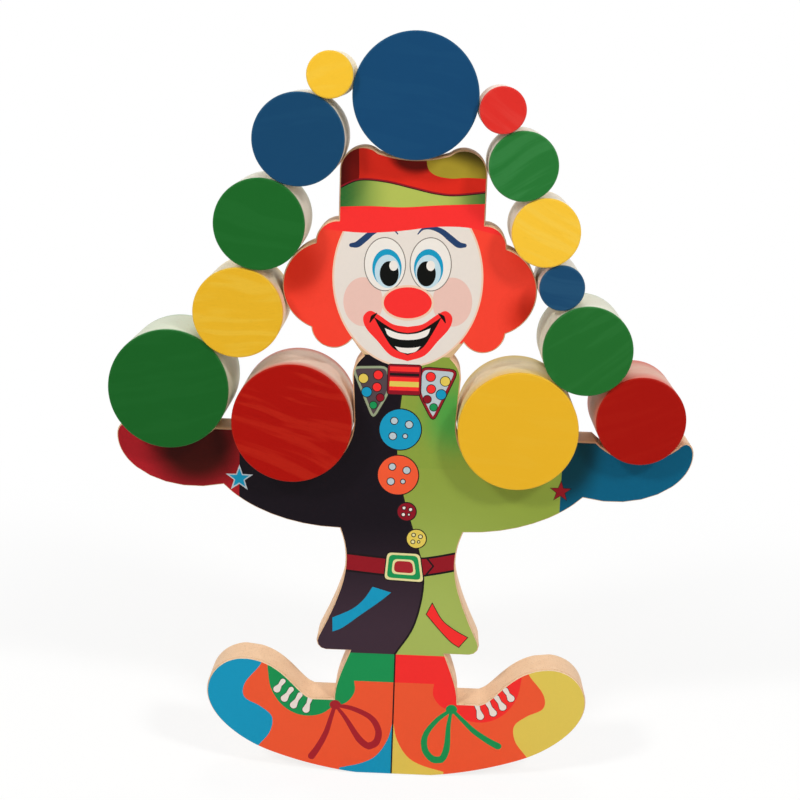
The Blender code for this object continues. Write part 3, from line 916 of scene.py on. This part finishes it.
# %% Bow tie
DOTS = ((11.8, 195.8, 2.0, "red"), (18.4, 194.0, 2.1, "yellow"), (12.2, 190.2, 1.9, "red"),
        (16.8, 187.8, 2.2, "blue"), (10.6, 185.4, 1.7, "knot"), (13.6, 181.8, 1.6, "green"))
wing = rounded([(7.0, 200.2), (24.2, 199.4), (13.6, 174.6), (6.2, 188.4)], 4.0)
for side, edge_ink, inner_ink in ((-1, "bow_line", "bow_shade"), (1, "belt", "bow_grey")):
    half = [(FACE_X + side * x, z) for x, z in wing]
    lay("line", grown(half, 0.4))
    lay(edge_ink, half)
    lay(inner_ink, grown(half, -1.1))
    for x, z, radius, ink in DOTS:
        lay("line", oval(FACE_X + side * x, z, radius + 0.35))
        lay(ink, oval(FACE_X + side * x, z, radius))
knot_left, knot_right = FACE_X - 7.4, FACE_X + 7.4
knot = rounded(rectangle(knot_left, 187.2, knot_right, 200.8), 1.2)
lay("line", grown(knot, 0.4))
lay("knot", knot)
for low, high, ink in ((197.8, 200.0, "red"), (195.8, 197.0, "line"), (189.0, 195.2, "red"),
                       (190.8, 193.2, "yellow")):
    lay(ink, rectangle(knot_left + 0.8, low, knot_right - 0.8, high))
print("bow tie:", len(fields), "fields in all")

# %% [markdown]
# ### From drawing to paper
# All outlines now go into one flat triangulation, cut along every line of the drawing. Each triangle
# knows which fields cover it, and it takes the ink of the one that was laid last. Sheets stacked a hair
# apart would be simpler, but they would show as steps from the side.

# %% Paper
SHEET_REACH = 0.3                       # mm; the sheet ends where the rounding of the board's edge begins
GLUE_GAP = 0.02 * MM
ALL_TRIANGLES = 0                       # what the triangulation gives back

sheet_low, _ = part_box("printed_face")
sheet_outline = rounded_out(grown(front_border("printed_face"), SHEET_REACH))
corners, polygons = [], []
for ink, outline in [("skin", sheet_outline), *fields]:
    polygons.append(list(range(len(corners), len(corners) + len(outline))))
    corners += [Vector(p) for p in outline]
spots, _, triangles, _, _, covers = delaunay_2d_cdt(corners, [], polygons, ALL_TRIANGLES, WELD)

ink_names = list(inks)
top_ink = [ink_names.index("skin"), *(ink_names.index(ink) for ink, _ in fields)]
paper_mesh = bmesh.new()
paper_verts = {}
for triangle, cover in zip(triangles, covers):
    if 0 not in cover:
        continue
    for i in triangle:
        if i not in paper_verts:
            paper_verts[i] = paper_mesh.verts.new((spots[i].x * MM, sheet_low.y, spots[i].y * MM))
    face = paper_mesh.faces.new([paper_verts[i] for i in triangle])
    face.material_index = top_ink[max(cover)]
used_inks = {face.material_index for face in paper_mesh.faces}
print("print:", len(paper_mesh.faces), "triangles in", len(used_inks), "inks")

# %% [markdown]
# ### Paper edge and back
# A sheet of paper has an edge and a back. The border of the print is pulled back to just short of the
# board, where the glue is, and closed there, in the colour of bare paper.

# %% Paper edge and back
rim = [line for line in paper_mesh.edges if line.is_boundary]
pulled = bmesh.ops.extrude_edge_only(paper_mesh, edges=rim)["geom"]
back_rim = [part for part in pulled if isinstance(part, bmesh.types.BMEdge)]
for part in pulled:
    if isinstance(part, bmesh.types.BMVert):
        part.co.y = board_low.y - GLUE_GAP
    elif isinstance(part, bmesh.types.BMFace):
        part.material_index = ink_names.index("paper_edge")
for face in bmesh.ops.edgeloop_fill(paper_mesh, edges=back_rim)["faces"]:
    face.material_index = ink_names.index("paper_edge")
bmesh.ops.recalc_face_normals(paper_mesh, faces=paper_mesh.faces)
paper = new_piece("printed_paper", paper_mesh, list(inks.values()))
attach(paper, "clown")
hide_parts("printed_face")
print("paper:", len(paper.data.polygons), "faces,", len(sheet_outline), "points round the edge")

# %% [markdown]
# ## Paint
# The blocks are beech discs, cut from thick board, so the grain runs across their round faces. The faces
# are rolled with a thin satin paint that lets the grain show, and that is thinnest on the rounded edges,
# where hands wear it. Wood under a glaze keeps a share of its own colour, so the paler streaks are worked
# out from the paint and the wood, not chosen by eye.

# %% Satin paint
BLOCK_PALE = "#F7EFE4"
PAINT_GLOSS = 0.08                      # as with the print, the lamps hardly mirror in it
RAGGED = 1.2 * MM                       # how far the fibres make the border of the paint wander
STREAK_START, STREAK_FULL = 0.48, 0.61  # growth band levels where a pale streak starts and is full
WEAR_START, WEAR_FULL = -0.1 * MM, 0.9 * MM     # past the radius, fibres included


def glazed(paint, depth):
    """The block's wood under a coat of paint, from none at a depth of 0 to the full colour at 1."""
    wood, coat = linear(BLOCK_PALE)[:3], linear(paint)[:3]
    return [w * (c / w) ** depth for w, c in zip(wood, coat)] + [1.0]


def block_grain(tree, place, shift, turn):
    """The grain of a block that was cut from its own place in the wood, and turned as it lies."""
    cut = add_node(tree, "ShaderNodeMapping", {
        "Vector": place, "Location": shift, "Rotation": (0, -turn, 0)})
    return beech_grain(tree, cut, "X")


def satin_paint(name, paint, grain, shift, turn, radius):
    """Thin satin paint on sanded beech: a deep colour, paler where growth bands or a worn edge show."""
    material, tree, place = new_material("satin_paint_" + name)
    bands, fibres, flecks = block_grain(tree, place, shift, turn)
    streaks = add_node(tree, "ShaderNodeMapRange", {
        "Value": bands, "From Min": STREAK_START, "From Max": STREAK_FULL}, interpolation_type="SMOOTHSTEP")
    flat = add_node(tree, "ShaderNodeVectorMath", {0: place, 1: (1, 0, 1)}, operation="MULTIPLY")
    from_axis = add_node(tree, "ShaderNodeVectorMath", {0: flat}, "Value", operation="LENGTH")
    ragged = add_node(tree, "ShaderNodeMath", {0: fibres, 1: RAGGED, 2: from_axis},
                      operation="MULTIPLY_ADD")
    worn = add_node(tree, "ShaderNodeMapRange", {
        "Value": ragged, "From Min": radius + WEAR_START, "From Max": radius + WEAR_FULL})
    shade = darker(paint)
    colour = layered(tree, paint, (streaks, grain, glazed(paint, 0.72)), (fibres, 0.5 * grain, shade),
                     (flecks, 0.25 * grain, shade), (worn, 0.6, glazed(paint, 0.6)))
    surfaced(tree, colour, fibres, (0.40, 0.55), 0.25, PAINT_GLOSS)
    return material


print("paint with a gloss of", PAINT_GLOSS)

# %% [markdown]
# ## Sides of the blocks
# The sides are bare sanded beech. Some paint has run over the edges on to them, with a border that the
# fibres make ragged, and the rest has a faint stain of the same colour. The distance from the middle of
# the block tells the paint where to stop, so both faces get it alike.

# %% Stained sides
BLOCK_DARK, BLOCK_FLECK = "#ECDFCD", "#C3AA8C"
RUN_FULL = 0.4 * MM                     # past the end of a block, where its paint would be full


def stained_side(name, paint, stain, run, shift, turn, half_length):
    """Bare beech side of a block with a faint stain, and paint that has run on to it from both faces."""
    material, tree, place = new_material("stained_beech_" + name)
    bands, fibres, flecks = block_grain(tree, place, shift, turn)
    across = add_node(tree, "ShaderNodeSeparateXYZ", {0: place}, "Y")
    from_middle = add_node(tree, "ShaderNodeMath", {0: across}, operation="ABSOLUTE")
    ragged = add_node(tree, "ShaderNodeMath", {0: fibres, 1: RAGGED, 2: from_middle},
                      operation="MULTIPLY_ADD")
    painted = add_node(tree, "ShaderNodeMapRange", {
        "Value": ragged, "From Min": half_length - run * MM + RAGGED / 2, "From Max": half_length + RUN_FULL,
    }, interpolation_type="SMOOTHSTEP")
    colour = layered(tree, glazed(paint, stain), (bands, 0.5, BLOCK_DARK), (fibres, 0.25, BLOCK_DARK),
                     (flecks, 0.35, BLOCK_FLECK), (painted, 0.9, glazed(paint, 0.4)))
    surfaced(tree, colour, fibres, (0.48, 0.62), 0.35)
    return material


print("the border of the paint wanders by", RAGGED / MM, "mm")

# %% [markdown]
# ## Blocks
# There are fourteen blocks in four sizes and four colours. Each lies as it fell, so each has its own
# direction of grain, its own depth of stain and its own run of paint, as the photograph shows them.

# %% Block finishes
BLOCKS = (
    # name, paint, depth of the stain, run of the paint in mm, grain in degrees, how much the grain shows
    ("large_blue", "#12466F", 0.03, 3, 8, 0.05),
    ("large_green", "#165E21", 0.10, 3, -12, 0.06),
    ("large_red", "#AE0D03", 0.05, 10, 19, 0.70),
    ("large_yellow", "#EAB325", 0.16, 15, 5, 0.10),
    ("medium_blue", "#134469", 0.03, 3, -6, 0.06),
    ("medium_green_left", "#196424", 0.03, 3, 10, 0.08),
    ("medium_green_right", "#206A29", 0.06, 3, -40, 0.14),
    ("medium_red", "#A40E04", 0.23, 16, -25, 0.10),
    ("medium_yellow", "#EAB527", 0.10, 5, 3, 0.45),
    ("small_green", "#277533", 0.03, 3, -28, 0.32),
    ("small_yellow", "#FAC637", 0.04, 3, 24, 0.40),
    ("mini_blue", "#18476C", 0.03, 3, 20, 0.20),
    ("mini_red", "#E02F28", 0.08, 3, 30, 0.30),
    ("mini_yellow", "#F8C433", 0.10, 3, -15, 0.25),
)
print("finishes for", len(BLOCKS), "blocks")

# %% [markdown]
# ### Discs
# The size and the place of a block come from the frame. A cone with two equal ends gives the disc, and a
# bevel its softened edges. The ends are painted up to and over the bevel, and the side is bare.

# %% Blocks
ROUND_SEGMENTS = 96
BLOCK_EDGE = 0.8                        # mm
BLOCK_EDGE_STEPS = 4
SIDE_SLOPE = 0.1                        # a face of the side leans less than this towards the ends
GRAIN_APART = 9                         # in the wood the blocks lie this many times further apart

for name, paint, stain, run, grain_turn, grain in BLOCKS:
    low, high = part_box("block_" + name)
    radius, half_length = (high.z - low.z) / 2, (high.y - low.y) / 2
    mesh = bmesh.new()
    bmesh.ops.create_cone(mesh, cap_ends=True, segments=ROUND_SEGMENTS, radius1=radius, radius2=radius,
                          depth=2 * half_length, matrix=Matrix.Rotation(math.pi / 2, 4, "X"))
    rims = [line for line in mesh.edges if abs(line.verts[0].co.y - line.verts[1].co.y) < half_length]
    bmesh.ops.bevel(mesh, geom=rims, offset=BLOCK_EDGE * MM, segments=BLOCK_EDGE_STEPS, profile=0.5,
                    affect="EDGES")
    for face in mesh.faces:
        face.material_index = 0 if abs(face.normal.y) > SIDE_SLOPE else 1
    centre = (low + high) / 2
    shift, turn = centre * GRAIN_APART, math.radians(grain_turn)
    paint_look = satin_paint(name, paint, grain, shift, turn, radius)
    side_look = stained_side(name, paint, stain, run, shift, turn, half_length)
    piece = new_piece(name + "_block", mesh, [paint_look, side_look])
    piece.location = centre
    smooth_shaded(piece)
    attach(piece, name)
    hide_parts("block_" + name)
    print(piece.name, "radius", round(radius / MM, 1), "mm, length", round(2 * half_length / MM, 1), "mm")
